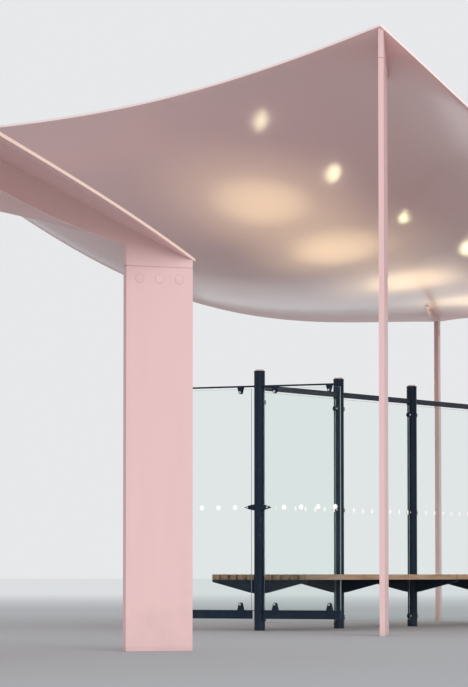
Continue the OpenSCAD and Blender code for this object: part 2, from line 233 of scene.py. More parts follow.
class LampSettings(bpy.types.PropertyGroup):
    """Light of the post lamps."""

    colour: FloatVectorProperty(
        name="Light colour", description="Colour of the lamps' light", subtype="COLOR", size=3,
        min=0, max=1, default=(0.92, 1.0, 0.56))
    power: FloatProperty(
        name="Power", description="Power of each lamp", default=32, min=0, max=500, unit="POWER")
    skirt: FloatProperty(
        name="Skirt power", description="Power of the faint light round each pool", default=31,
        min=0, max=100, unit="POWER")
    pool: FloatProperty(
        name="Pool size", description="Width of the pool of light on the roof", default=1.18,
        min=0.3, max=4, unit="LENGTH")
    glow: FloatProperty(
        name="Lens glow", description="Brightness of the lens's top", default=4, min=0, max=200)
    glint: FloatProperty(
        name="Glint power", description="Power of the lights that glint in the paint", default=4.2,
        min=0, max=100, unit="POWER")
    halo: FloatProperty(
        name="Halo power", description="Power of the soft light round each glint", default=50,
        min=0, max=300, unit="POWER")
    glint_colour: FloatVectorProperty(
        name="Glint colour", description="Colour of the glints", subtype="COLOR", size=3, min=0,
        max=1, default=(1.0, 0.95, 0.56))
    halo_colour: FloatVectorProperty(
        name="Halo colour", description="Colour of the soft light round the glints",
        subtype="COLOR", size=3, min=0, max=1, default=(0.78, 1.0, 0.78))
    ring_over: FloatProperty(
        name="Ring edge", description="How far the ring round the lens stands out from the post",
        default=0.002, min=0, max=0.01, unit="LENGTH")


class BenchSettings(bpy.types.PropertyGroup):
    """Finish of the bench."""

    timber: FloatVectorProperty(
        name="Timber", description="Colour of the oiled slats", subtype="COLOR", size=3, min=0,
        max=1, default=(0.38, 0.23, 0.132))
    slat_round: FloatProperty(
        name="Slat rounding", description="Rounding of the slats' edges", default=0.005, min=0.001,
        max=0.01, unit="LENGTH")
    slat_middle: FloatProperty(
        name="Outer slat", description="Distance of the outer slat's middle from the bench's edge",
        default=0.035, min=0.02, max=0.06, unit="LENGTH")
    slat_pitch: FloatProperty(
        name="Slat spacing", description="Distance between the slats' middles", default=0.092,
        min=0.05, max=0.12, unit="LENGTH")
    bracket_tip: FloatProperty(
        name="Bracket tip", description="Depth of the brackets at their tips", default=0.020,
        min=0.01, max=0.05, unit="LENGTH")
    bracket_flat: FloatProperty(
        name="Bracket foot", description="Half length of the brackets' level middle",
        default=0.065, min=0.05, max=0.2, unit="LENGTH")
    screw_size: FloatProperty(
        name="Screw size", description="Diameter of the screw heads in the slats", default=0.014,
        min=0.006, max=0.03, unit="LENGTH")


class StageSettings(bpy.types.PropertyGroup):
    """Floor, light and camera."""

    floor: FloatVectorProperty(
        name="Floor", description="Colour of the floor", subtype="COLOR", size=3, min=0, max=1,
        default=(0.405, 0.41, 0.42))
    far_floor: FloatVectorProperty(
        name="Far floor", description="Colour of the floor far away", subtype="COLOR", size=3,
        min=0, max=1, default=(0.72, 0.725, 0.73))
    sky: FloatVectorProperty(
        name="Background", description="Colour behind the shelter", subtype="COLOR", size=3, min=0,
        max=1, default=(0.80, 0.81, 0.82))
    sky_light: FloatProperty(
        name="Sky light", description="Strength of the soft light from all sides", default=0.86,
        min=0, max=3)
    sun_light: FloatProperty(
        name="Sun light", description="Strength of the soft light from the camera's side",
        default=1.25, min=0, max=6)
    bounce: FloatProperty(
        name="Ground light", description="Strength of the soft light from the ground",
        default=0.16, min=0, max=2)
    shine: FloatProperty(
        name="Ground shine", description="Brightness of the patch behind that the gloss shows",
        default=0.36, min=0, max=3)
    bounce_colour: FloatVectorProperty(
        name="Ground light colour", description="Colour of the soft light from the ground",
        subtype="COLOR", size=3, min=0, max=1, default=(1.0, 0.87, 0.83))
    eye: FloatVectorProperty(
        name="Camera place", description="Where the camera stands", subtype="TRANSLATION", size=3,
        default=(-28.97, -16.12, 0.515))
    heading: FloatProperty(
        name="Camera heading", description="Direction of view, from +X towards +Y",
        default=math.radians(29.5), subtype="ANGLE")
    pitch: FloatProperty(
        name="Camera pitch", description="How far the camera looks up", default=math.radians(3.67),
        subtype="ANGLE")
    lens: FloatProperty(
        name="Lens", description="Focal length on a sensor 36 mm high", default=188.65, min=20,
        max=600)


def select_only(*pieces):
    """Selects these objects and no others, with the first one active."""
    bpy.ops.object.select_all(action="DESELECT")
    for piece in pieces:
        piece.select_set(True)
    bpy.context.view_layer.objects.active = pieces[0]


def in_edit_mode(piece, *steps):
    """Runs mesh operators on the whole of one piece. Each step is an operator and its settings."""
    select_only(piece)
    bpy.ops.object.mode_set(mode="EDIT")
    for operator, settings in steps:
        bpy.ops.mesh.select_all(action="SELECT")
        operator(**settings)
    bpy.ops.object.mode_set(mode="OBJECT")


def add_modifier(piece, kind, **settings):
    """Adds a modifier and applies it."""
    select_only(piece)
    modifier = piece.modifiers.new(kind.title(), kind)
    for name, value in settings.items():
        setattr(modifier, name, value)
    bpy.ops.object.modifier_apply(modifier=modifier.name)


def smooth(piece, degrees=35):
    """Smooth shading across edges flatter than this."""
    select_only(piece)
    bpy.ops.object.shade_smooth_by_angle(angle=math.radians(degrees))


def settle(piece, material, nodes=()):
    """Puts a finished piece at the origin, gives it its material and lets it ride."""
    select_only(piece)
    bpy.ops.object.transform_apply(location=True, rotation=True, scale=True)
    piece.data.materials.clear()
    for entry in material if isinstance(material, tuple) else (material,):
        piece.data.materials.append(entry)
    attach(piece, "root")
    if nodes:
        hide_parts(*nodes)
    return piece


def node_copy(name, nodes):
    """One new piece from copies of CAD nodes, with their doubles merged."""
    select_only(*[frame["nodes"][node] for node in nodes])
    bpy.ops.object.duplicate()
    if len(nodes) > 1:
        bpy.ops.object.join()
    piece = bpy.context.active_object
    piece.name = piece.data.name = name
    piece.parent = None
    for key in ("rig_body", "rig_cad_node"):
        if key in piece:
            del piece[key]
    in_edit_mode(
        piece,
        (bpy.ops.mesh.customdata_custom_splitnormals_clear, {}),
        (bpy.ops.mesh.remove_doubles, {"threshold": MERGE}),
    )
    return piece


def plate_copy(name, node, rounding, segments=2, reshape=None):
    """A copy of one CAD node with flat faces whole again and its edges rounded."""
    piece = node_copy(name, (node,))
    if reshape:
        reshape(piece)
    in_edit_mode(piece, (bpy.ops.mesh.dissolve_limited, {"angle_limit": math.radians(0.4)}))
    add_modifier(
        piece, "BEVEL", width=rounding, segments=segments, limit_method="ANGLE",
        angle_limit=math.radians(40), use_clamp_overlap=True)
    smooth(piece)
    add_modifier(piece, "WEIGHTED_NORMAL", weight=100, keep_sharp=True)
    return piece


def button(name, radius, height, rounding, sides=20):
    """A round button that stands on the origin, with a rounded rim."""
    bpy.ops.object.select_all(action="DESELECT")
    bpy.ops.mesh.primitive_cylinder_add(
        vertices=sides, radius=radius, depth=height, location=(0, 0, height / 2))
    piece = bpy.context.active_object
    piece.name = name
    bpy.ops.object.transform_apply(location=True)
    add_modifier(
        piece, "BEVEL", width=rounding, segments=3, limit_method="ANGLE",
        angle_limit=math.radians(60))
    smooth(piece)
    add_modifier(piece, "WEIGHTED_NORMAL", weight=100, keep_sharp=True)
    return piece


def spread_copies(master, name, places):
    """Copies a small piece to each place, joins the copies and removes the first."""
    copies = []
    for place in places:
        select_only(master)
        bpy.ops.object.duplicate()
        copy = bpy.context.active_object
        copy.matrix_world = place
        copies.append(copy)
    bpy.data.objects.remove(master)
    select_only(*copies)
    bpy.ops.object.transform_apply(location=True, rotation=True, scale=True)
    bpy.ops.object.join()
    piece = bpy.context.active_object
    piece.name = piece.data.name = name
    return piece


def facing(point, direction):
    """The place for a piece at a point, with its up side turned towards a direction."""
    turn = UP.rotation_difference(Vector(direction))
    return Matrix.Translation(point) @ turn.to_matrix().to_4x4()


class Tree:
    """Shorthand for building one material's nodes."""

    def __init__(self, name):
        self.material = bpy.data.materials.new(name)
        self.material.use_nodes = True
        self.nodes = self.material.node_tree.nodes
        self.links = self.material.node_tree.links
        self.shader = self.nodes["Principled BSDF"]
        self.place = self.nodes.new("ShaderNodeTexCoord").outputs["Object"]

    def add(self, kind, inputs=(), **settings):
        """A new node with its settings and inputs. An input is a value or another node's socket."""
        node = self.nodes.new(kind)
        for name, value in settings.items():
            setattr(node, name, value)
        for socket, value in dict(inputs).items():
            self.join(value, node.inputs[socket])
        return node

    def join(self, value, socket):
        """Links a socket, or sets a plain value."""
        if isinstance(value, bpy.types.NodeSocket):
            self.links.new(value, socket)
        else:
            socket.default_value = value

    def noise(self, scale, detail=3, stretch=(1, 1, 1), roughness=0.5):
        """Noise of this scale, with its pattern stretched by a share of each axis."""
        mapping = self.add("ShaderNodeMapping", {"Vector": self.place, "Scale": stretch})
        settings = {
            "Vector": mapping.outputs["Vector"], "Scale": scale, "Detail": detail,
            "Roughness": roughness}
        return self.add("ShaderNodeTexNoise", settings).outputs["Fac"]

    def remap(self, value, low, high, to_low, to_high):
        """Value from one range to another, held at both ends."""
        settings = {
            "Value": value, "From Min": low, "From Max": high, "To Min": to_low, "To Max": to_high}
        return self.add("ShaderNodeMapRange", settings).outputs["Result"]

    def mix(self, share, first, second, blend="MIX"):
        """Colour mixed from two colours by a share."""
        node = self.add("ShaderNodeMix", data_type="RGBA", blend_type=blend)
        for index, value in ((0, share), (6, first), (7, second)):
            self.join(value, node.inputs[index])
        return node.outputs[2]

    def bump(self, height, strength, distance, normal=None):
        """Normal from a height."""
        settings = {"Height": height, "Strength": strength, "Distance": distance}
        if normal:
            settings["Normal"] = normal
        return self.add("ShaderNodeBump", settings).outputs["Normal"]

    def finish(self, **sockets):
        """Sets the shader's sockets and gives the material."""
        for name, value in sockets.items():
            self.join(value, self.shader.inputs[name.replace("_", " ")])
        return self.material


def rgba(colour, shade=1.0):
    """Four numbers from three, made lighter or darker."""
    return (*[min(1, part * shade) for part in colour], 1)


def steel_paint(name, colour, streaks, roughness, coat, rim=None):
    """Satin paint on steel plate: faint clouding, streaks and specks, dust near the ground.

    The clear coat fades where the plate is seen almost edge-on. A rim colour goes on upright faces:
    a painted highlight, lighter where low light catches the sheet's edge.
    """
    t = Tree(name)
    graze = t.add("ShaderNodeLayerWeight", {"Blend": 0.5}).outputs["Facing"]
    clouds = t.remap(t.noise(0.45, detail=3), 0.3, 0.7, 0, 1)
    tone = t.mix(clouds, rgba(colour, 0.985), rgba(colour, 1.012))
    runs = t.remap(t.noise(9, detail=4, stretch=(1, 1, 0.07)), 0.48, 0.72, 0, streaks)
    tone = t.mix(runs, tone, rgba(colour, 0.86))
    specks = t.remap(t.noise(70, detail=2), 0.74, 0.80, 0, streaks)
    tone = t.mix(specks, tone, rgba(colour, 0.80))
    height = t.add("ShaderNodeSeparateXYZ", {"Vector": t.place}).outputs["Z"]
    low = t.add("ShaderNodeMath", {0: height, 1: t.noise(5, detail=3)}, operation="ADD").outputs[0]
    dust = t.remap(low, 0.45, 0.80, 0.20, 0)
    tone = t.mix(dust, tone, (0.42, 0.36, 0.34, 1))
    # Painted highlight: upright faces take the lighter rim colour, as if low light caught the edge.
    if rim:
        upright = t.add("ShaderNodeNewGeometry").outputs["Normal"]
        steep = t.add("ShaderNodeSeparateXYZ", {"Vector": upright}).outputs["Z"]
        steep = t.add("ShaderNodeMath", {0: steep}, operation="ABSOLUTE").outputs[0]
        tone = t.mix(t.remap(steep, 0.25, 0.6, 1, 0), tone, rgba(rim))
    rough = t.remap(t.noise(3.5, detail=4), 0.3, 0.7, roughness - 0.03, roughness + 0.03)
    return t.finish(
        Base_Color=tone, Roughness=rough, Normal=t.bump(t.noise(240, detail=1), 0.03, 0.0004),
        Coat_Weight=t.remap(graze, 0.88, 0.94, coat, 0), Coat_Roughness=0.18,
        Specular_IOR_Level=0.22)


def frame_paint(colour):
    """Dark powder coat with a fine grain, scuffed and dusty near the ground."""
    if "dark_frame_paint" in bpy.data.materials:
        return bpy.data.materials["dark_frame_paint"]
    t = Tree("dark_frame_paint")
    clouds = t.remap(t.noise(2.2, detail=4), 0.35, 0.7, 0, 1)
    tone = t.mix(clouds, rgba(colour, 0.85), rgba(colour, 1.25))
    height = t.add("ShaderNodeSeparateXYZ", {"Vector": t.place}).outputs["Z"]
    low = t.add("ShaderNodeMath", {0: height, 1: t.noise(9, detail=4)}, operation="ADD").outputs[0]
    tone = t.mix(t.remap(low, 0.42, 0.72, 0.07, 0), tone, (0.16, 0.15, 0.14, 1))
    scuffs = t.remap(t.noise(38, detail=5, stretch=(1, 1, 0.35)), 0.66, 0.74, 0, 0.35)
    tone = t.mix(scuffs, tone, (0.10, 0.11, 0.13, 1))
    rough = t.remap(t.noise(6, detail=3), 0.3, 0.7, 0.30, 0.42)
    return t.finish(
        Base_Color=tone, Roughness=rough, Normal=t.bump(t.noise(900, detail=1), 0.10, 0.0003),
        Specular_IOR_Level=0.12)


def clear_glass(tint):
    """Clear toughened glass with a faint green cast and slight dirt in its gloss."""
    t = Tree("clear_glass")
    rough = t.remap(t.noise(4, detail=5), 0.45, 0.75, 0.0, 0.006)
    waves = t.bump(t.noise(0.9, detail=1), 0.03, 0.002)
    return t.finish(
        Base_Color=rgba(tint), Roughness=rough, Normal=waves, Transmission_Weight=1.0, IOR=1.18)


def glass_edge():
    """Ground edge of a pane, green."""
    t = Tree("glass_edge")
    tone = t.mix(t.noise(30, detail=2), (0.20, 0.33, 0.30, 1), (0.32, 0.46, 0.42, 1))
    return t.finish(
        Base_Color=tone, Roughness=0.25, Transmission_Weight=0.35, IOR=1.25,
        Normal=t.bump(t.noise(400, detail=1), 0.2, 0.0004))


def timber(colour):
    """Oiled hardwood slats: each slat has its own tone, with grain along it."""
    t = Tree("bench_timber")
    across = t.add("ShaderNodeSeparateXYZ", {"Vector": t.place}).outputs["Y"]
    slat = t.add("ShaderNodeMath", {0: across, 1: SLAT_STEP}, operation="SNAP").outputs[0]
    along = t.add("ShaderNodeSeparateXYZ", {"Vector": t.place}).outputs["X"]
    piece = t.add("ShaderNodeMath", {0: along, 1: BENCH_MIDDLE}, operation="SNAP").outputs[0]
    seed = t.add("ShaderNodeCombineXYZ", {"X": piece, "Y": slat}).outputs["Vector"]
    own = t.add("ShaderNodeTexWhiteNoise", {"Vector": seed}, noise_dimensions="3D").outputs["Value"]
    tone = t.mix(own, rgba(colour, 0.72), rgba(colour, 1.28))
    grain = t.noise(46, detail=6, stretch=(0.045, 1, 1), roughness=0.62)
    tone = t.mix(t.remap(grain, 0.42, 0.66, 0, 0.62), tone, rgba(colour, 0.42))
    pores = t.noise(420, detail=3, stretch=(0.05, 1, 1))
    tone = t.mix(t.remap(pores, 0.58, 0.70, 0, 0.40), tone, rgba(colour, 0.35))
    weather = t.remap(t.noise(2.6, detail=4), 0.42, 0.70, 0, 0.35)
    tone = t.mix(weather, tone, (0.42, 0.37, 0.31, 1))
    grooves = t.bump(grain, 0.35, 0.0012)
    return t.finish(
        Base_Color=tone, Roughness=t.remap(grain, 0.3, 0.7, 0.48, 0.68),
        Normal=t.bump(pores, 0.25, 0.0004, grooves))


def stainless():
    """Turned stainless steel."""
    if "stainless_steel" in bpy.data.materials:
        return bpy.data.materials["stainless_steel"]
    t = Tree("stainless_steel")
    tone = t.mix(t.noise(60, detail=3), (0.52, 0.52, 0.51, 1), (0.70, 0.70, 0.69, 1))
    rough = t.remap(t.noise(140, detail=3), 0.3, 0.7, 0.20, 0.34)
    return t.finish(Base_Color=tone, Metallic=1.0, Roughness=rough)


def dot_print_painted_glow():
    """White enamel dots fired on the glass, with a faint painted glow."""
    t = Tree("white_enamel_painted_glow")
    tone = t.mix(t.noise(25, detail=3), (0.80, 0.80, 0.78, 1), (0.88, 0.88, 0.86, 1))
    # Painted light: the emission makes the dots glow faintly, though they are no lamp.
    return t.finish(
        Base_Color=tone, Roughness=t.remap(t.noise(80), 0.3, 0.7, 0.28, 0.4), Emission_Color=tone,
        Emission_Strength=0.45)


def lamp_lens(colour, glow):
    """Opal lens of a post lamp. Its flat top is lit, its rim only glows faintly."""
    t = Tree("lamp_lens")
    rings = t.noise(120, detail=1, stretch=(1, 1, 0.2))
    tone = t.mix(rings, (0.50, 0.37, 0.37, 1), (0.60, 0.46, 0.46, 1))
    height = t.add("ShaderNodeSeparateXYZ", {"Vector": t.place}).outputs["Z"]
    lit = t.remap(height, LENS_TOP - LIT_FROM, LENS_TOP - LIT_TO, 0.02, glow)
    return t.finish(
        Base_Color=tone, Roughness=0.35, Emission_Color=rgba(colour), Emission_Strength=lit)


def remove_inner_walls(piece, nodes):
    """Deletes the walls where a leaf's four panels meet, so that the leaf is one closed shell."""
    centre = sum((v.co for v in piece.data.vertices), Vector()) / len(piece.data.vertices)
    tips = []
    for node in nodes:
        spots = [v.co for v in frame["nodes"][node].data.vertices]
        tips.append(max(spots, key=lambda spot: (spot.xy - centre.xy).length).xy)
    shares = Matrix((tips[1] - tips[0], tips[2] - tips[0])).transposed().inverted()
    select_only(piece)
    bpy.ops.object.mode_set(mode="EDIT")
    bpy.ops.mesh.select_all(action="DESELECT")
    bpy.ops.mesh.select_mode(type="FACE")
    bpy.ops.object.mode_set(mode="OBJECT")
    for face in piece.data.polygons:
        inside = all(0.01 < share < 0.99 for share in shares @ (face.center.xy - tips[0]))
        face.select = inside and abs(face.normal.z) < 0.05
    bpy.ops.object.mode_set(mode="EDIT")
    bpy.ops.mesh.delete(type="FACE")
    bpy.ops.object.mode_set(mode="OBJECT")


def sharpen_rim(piece, degrees=40):
    """Creases the edges of the rim and its corners, so that smoothing leaves them sharp."""
    crease = piece.data.attributes.new("crease_edge", "FLOAT", "EDGE")
    sides = {}
    for face in piece.data.polygons:
        for key in face.edge_keys:
            sides.setdefault(key, []).append(face.normal)
    for edge in piece.data.edges:
        first, second = sides[edge.key]
        crease.data[edge.index].value = float(first.angle(second) > math.radians(degrees))


def pass_through(piece, smoothing, rounds=4):
    """Shifts a cage so that its smoothed sheet passes through the cage's own points."""
    aims = [vertex.co.copy() for vertex in piece.data.vertices]
    for _ in range(rounds):
        select_only(piece)
        bpy.ops.object.duplicate()
        trial = bpy.context.active_object
        add_modifier(trial, "SUBSURF", **smoothing | {"levels": 1, "render_levels": 1})
        for vertex, aim, reached in zip(piece.data.vertices, aims, trial.data.vertices):
            vertex.co += aim - reached.co
        bpy.data.objects.remove(trial)


def lift_top(piece, height):
    """Moves the faces that look up by this height."""
    select_only(piece)
    bpy.ops.object.mode_set(mode="EDIT")
    bpy.ops.mesh.select_mode(type="FACE")
    bpy.ops.mesh.select_all(action="DESELECT")
    bpy.ops.object.mode_set(mode="OBJECT")
    for face in piece.data.polygons:
        face.select = face.normal.z > 0.5
    bpy.ops.object.mode_set(mode="EDIT")
    bpy.ops.transform.translate(value=(0, 0, height))
    bpy.ops.object.mode_set(mode="OBJECT")


def inset_caps(piece, thickness):
    """Insets the large faces of each disc and gives the numbers of the faces inside."""
    select_only(piece)
    bpy.ops.object.mode_set(mode="EDIT")
    bpy.ops.mesh.select_mode(type="FACE")
    bpy.ops.mesh.select_all(action="DESELECT")
    bpy.ops.object.mode_set(mode="OBJECT")
    largest = max(face.area for face in piece.data.polygons)
    for face in piece.data.polygons:
        face.select = face.area > largest / 2
    bpy.ops.object.mode_set(mode="EDIT")
    bpy.ops.mesh.inset(thickness=thickness, depth=0)
    bpy.ops.object.mode_set(mode="OBJECT")
    return {face.index for face in piece.data.polygons if face.select}


def taper_brackets(piece):
    """Gives the bench brackets their straight taper from the post to the tips."""
    bench = bpy.context.scene.shelter_bench
    low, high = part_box("bench_brackets")
    rise = (high.z - low.z - bench.bracket_tip) / (high.y - bench.bracket_flat)
    for vertex in piece.data.vertices:
        if vertex.co.z < high.z - MERGE:
            vertex.co.z = low.z + max(0, abs(vertex.co.y) - bench.bracket_flat) * rise


class SHELTER_OT_roof(bpy.types.Operator):
    """Makes each roof leaf one smooth painted sheet"""

    bl_idname = "shelter.roof"
    bl_label = "Roof leaves"

    def execute(self, context):
        roof = context.scene.shelter_roof
        for name, nodes, rim in (
            ("main_leaf", MAIN_LEAF, roof.main_rim_highlight), ("wing_leaf", WING_LEAF, roof.wing_rim_highlight)):
            paint = steel_paint(
                f"{name}_paint", roof.paint, streaks=0.04, roughness=0.40, coat=1.0, rim=rim)
            leaf = node_copy(name, nodes)
            remove_inner_walls(leaf, nodes)
            in_edit_mode(
                leaf,
                (bpy.ops.mesh.tris_convert_to_quads,
                    {"face_threshold": math.radians(60), "shape_threshold": math.radians(80)}),
            )
            sharpen_rim(leaf)
            smoothing = {
                "levels": roof.smoothing, "render_levels": roof.smoothing,
                "boundary_smooth": "PRESERVE_CORNERS"}
            pass_through(leaf, smoothing)
            add_modifier(leaf, "SUBSURF", **smoothing)
            add_modifier(
                leaf, "BEVEL", width=roof.edge_round, segments=2, limit_method="ANGLE",
                angle_limit=math.radians(60))
            smooth(leaf, 40)
            settle(leaf, paint, nodes)
        return {"FINISHED"}


class SHELTER_OT_columns(bpy.types.Operator):
    """Rounds and paints the blade columns, their heads and the bolt covers"""

    bl_idname = "shelter.columns"
    bl_label = "Columns"

    def execute(self, context):
        roof = context.scene.shelter_roof
        paint = steel_paint("column_paint", roof.paint, streaks=0.15, roughness=0.42, coat=0.2)
        for corner in CORNERS:
            for part in ("column", "head"):
                node = f"{corner}_{part}"
                piece = plate_copy(f"{corner}_{part}_plate", node, roof.plate_round)
                if part == "head":
                    lift_top(piece, roof.head_lift)
                settle(piece, paint, (node,))
        covers = plate_copy("bolt_cover_discs", "bolt_covers", rounding=0.0008)
        caps = inset_caps(covers, roof.seam)
        # Painted shade: a darker ring of paint round each cover's face stands for the shaded gap.
        dark = [part * SEAM_SHADE for part in roof.paint]
        seam = steel_paint("cover_seam_painted_shade", dark, streaks=0.15, roughness=0.5, coat=0)
        settle(covers, (paint, seam), ("bolt_covers",))
        for face in covers.data.polygons:
            face.material_index = 0 if face.index in caps else 1
        return {"FINISHED"}


class SHELTER_OT_frames(bpy.types.Operator):
    """Rounds and paints the posts, rails, clamps and brackets"""

    bl_idname = "shelter.frames"
    bl_label = "Posts and rails"

    def execute(self, context):
        paint = frame_paint(context.scene.shelter_screens.paint)
        rounding = {post: 0.003 for post in POSTS}
        rounding.update(
            top_rails=0.004, near_screen_rails=0.003, far_screen_rails=0.003, screen_clamps=0.003,
            glass_clips=0.002, bench_brackets=0.002)
        for node, size in rounding.items():
            reshape = taper_brackets if node == "bench_brackets" else None
            piece = plate_copy(f"{node}_coated", node, size, reshape=reshape)
            settle(piece, paint, (node,))
        return {"FINISHED"}


class SHELTER_OT_glass(bpy.types.Operator):
    """Gives the panes their polished faces and green edges"""

    bl_idname = "shelter.glass"
    bl_label = "Glass"

    def execute(self, context):
        clear = clear_glass(context.scene.shelter_screens.tint)
        edge = glass_edge()
        for node in (*PANES, "near_screen_glass", "far_screen_glass"):
            piece = plate_copy(f"{node}_polished", node, rounding=0.0015, segments=1)
            size = piece.dimensions
            thin = 0 if size.x < size.y else 1
            settle(piece, (clear, edge), (node,))
            for face in piece.data.polygons:
                face.material_index = 0 if abs(face.normal[thin]) > 0.9 else 1
        return {"FINISHED"}


class SHELTER_OT_dots(bpy.types.Operator):
    """Prints the row of white dots on the glass"""

    bl_idname = "shelter.dots"
    bl_label = "Glass dots"

    def execute(self, context):
        screens = context.scene.shelter_screens
        white = dot_print_painted_glow()
        places = {"near_screen_dots": [], "far_screen_dots": [], "spine_dots": []}
        for side in ("near", "far"):
            low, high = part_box(f"{side}_screen_glass")
            for sign in (-1, 1):
                for i in range(SCREEN_DOTS):
                    inward = screens.dot_edge + i * screens.dot_pitch
                    y = sign * (high.y - inward) + screens.dot_shift
                    places[f"{side}_screen_dots"].append(
                        facing((low.x, y, screens.dot_height), (-1, 0, 0)))
        for pane in PANES:
            low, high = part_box(pane)
            middle = (low.x + high.x) / 2
            for i in range(PANE_DOTS):
                x = middle + (i - (PANE_DOTS - 1) / 2) * screens.spine_pitch
                places["spine_dots"].append(facing((x, low.y, screens.dot_height), (0, -1, 0)))
        for name, spots in places.items():
            dot = button("dot", screens.dot_size / 2, DOT_SKIN, DOT_SKIN / 3, sides=32)
            settle(spread_copies(dot, name, spots), white)
        return {"FINISHED"}


class SHELTER_OT_lamps(bpy.types.Operator):
    """Lights the lamps in the tops of the posts"""

    bl_idname = "shelter.lamps"
    bl_label = "Post lamps"

    def execute(self, context):
        lamps = context.scene.shelter_lamps
        lens = plate_copy("post_lamp_lenses", "post_lamps", rounding=0.005, segments=3)
        settle(lens, lamp_lens(lamps.colour, lamps.glow), ("post_lamps",))
        lens.visible_glossy = False
        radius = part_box("post_1")[1].x + lamps.ring_over
        ring = button("ring", radius, RING_H, rounding=0.002, sides=48)
        places = [Matrix.Translation((*place, POST_TOP - RING_SINK)) for place in POST_PLACES]
        coat = frame_paint(context.scene.shelter_screens.paint)
        settle(spread_copies(ring, "lamp_rings", places), coat)
        for post, place, pool, share in zip(POSTS, POST_PLACES, POOLS, BEAM_SHARES):
            start = Vector((*place, LENS_TOP + BEAM_LIFT))
            parts = (("beam", 1, lamps.power), ("skirt", SKIRT_WIDTH, lamps.skirt))
            for part, wide, power in parts:
                light = self.add_beam(
                    f"{post}_{part}", start, pool, power * share, lamps.pool * wide, lamps.colour)
                light.visible_glossy = False
        for i, (start, radius, spot, size, share) in enumerate(GLINTS, 1):
            parts = (
                ("core", 1, lamps.glint, lamps.glint_colour),
                ("halo", HALO_WIDTH, lamps.halo, lamps.halo_colour))
            for part, wide, power, colour in parts:
                light = self.add_beam(
                    f"glint_{i}_{part}", start, spot, power * share, size * wide, colour)
                light.data.shadow_soft_size = radius
                light.visible_transmission = False
                light.visible_diffuse = part == "halo"
                light.visible_glossy = part == "core"
        return {"FINISHED"}

    def add_beam(self, name, start, end, power, width, colour):
        """One beam from a place towards another, with its width there."""
        light = bpy.data.lights.new(name, "SPOT")
        light.color = colour
        light.energy = power
        towards = Vector(end) - Vector(start)
        light.spot_size = 2 * math.atan(width / 2 / towards.length)
        light.spot_blend = 1.0
        light.shadow_soft_size = BEAM_RADIUS
        holder = bpy.data.objects.new(name, light)
        bpy.context.scene.collection.objects.link(holder)
        turn = towards.to_track_quat("-Z", "Y")
        holder.matrix_world = Matrix.Translation(start) @ turn.to_matrix().to_4x4()
        return holder


class SHELTER_OT_fittings(bpy.types.Operator):
    """Adds the stainless studs of the clamps and holders, and the knobs of the glass clips"""

    bl_idname = "shelter.fittings"
    bl_label = "Fittings"

    def execute(self, context):
        screens = context.scene.shelter_screens
        steel = stainless()
        near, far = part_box("screen_clamps")
        rod_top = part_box("near_screen_rails")[1].z
        glass_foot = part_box("near_screen_glass")[0].z
        rows = [(screens.holder_button, screens.holder_height)]
        rows += [
            (y, z) for y in CLAMP_PLACES for z in (rod_top - STUD_DROP, glass_foot + STUD_RISE)]
        faces = ((near.x, -1), (near.x + CLIP_W, 1), (far.x - CLIP_W, -1), (far.x, 1))
        places = [
            facing((x, side * y, z), (way, 0, 0))
            for x, way in faces for y, z in rows for side in (-1, 1)]
        stud = button("stud", screens.stud_size / 2, height=0.004, rounding=0.0015, sides=24)
        settle(spread_copies(stud, "clamp_studs", places), steel)
        low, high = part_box("glass_clips")
        heights = (low.z + CLIP_H / 2, screens.holder_height, high.z - CLIP_H / 2)
        spots = [place.x + reach for place in POST_PLACES for reach in (-CLIP_REACH, CLIP_REACH)]
        places = [
            facing((x, way * high.y, z), (0, way, 0))
            for x in spots[1:-1] for z in heights for way in (-1, 1)]
        knob = button("knob", screens.knob_size / 2, height=0.009, rounding=0.003, sides=24)
        settle(spread_copies(knob, "clip_knobs", places), steel)
        return {"FINISHED"}


class SHELTER_OT_bench(bpy.types.Operator):
    """Rounds and oils the slats and screws them to their brackets"""

    bl_idname = "shelter.bench"
    bl_label = "Bench"

    def execute(self, context):
        bench = context.scene.shelter_bench
        wood = timber(bench.timber)
        for node in ("bench_seat_near", "bench_seat_far"):
            piece = plate_copy(f"{node}_slats", node, bench.slat_round, segments=3)
            settle(piece, wood, (node,))
        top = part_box("bench_seat_near")[1]
        rows = [
            side * (top.y - bench.slat_middle - i * bench.slat_pitch)
            for i in range(SLATS) for side in (-1, 1)]
        screw = button("screw", bench.screw_size / 2, height=0.0025, rounding=0.0012, sides=16)
        # The two lengths of bench meet over the middle post, so no screw goes in there.
        posts = POST_PLACES[:2] + POST_PLACES[3:]
        places = [Matrix.Translation((place.x, y, top.z)) for place in posts for y in rows]
        settle(spread_copies(screw, "bench_screws", places), stainless())
        return {"FINISHED"}


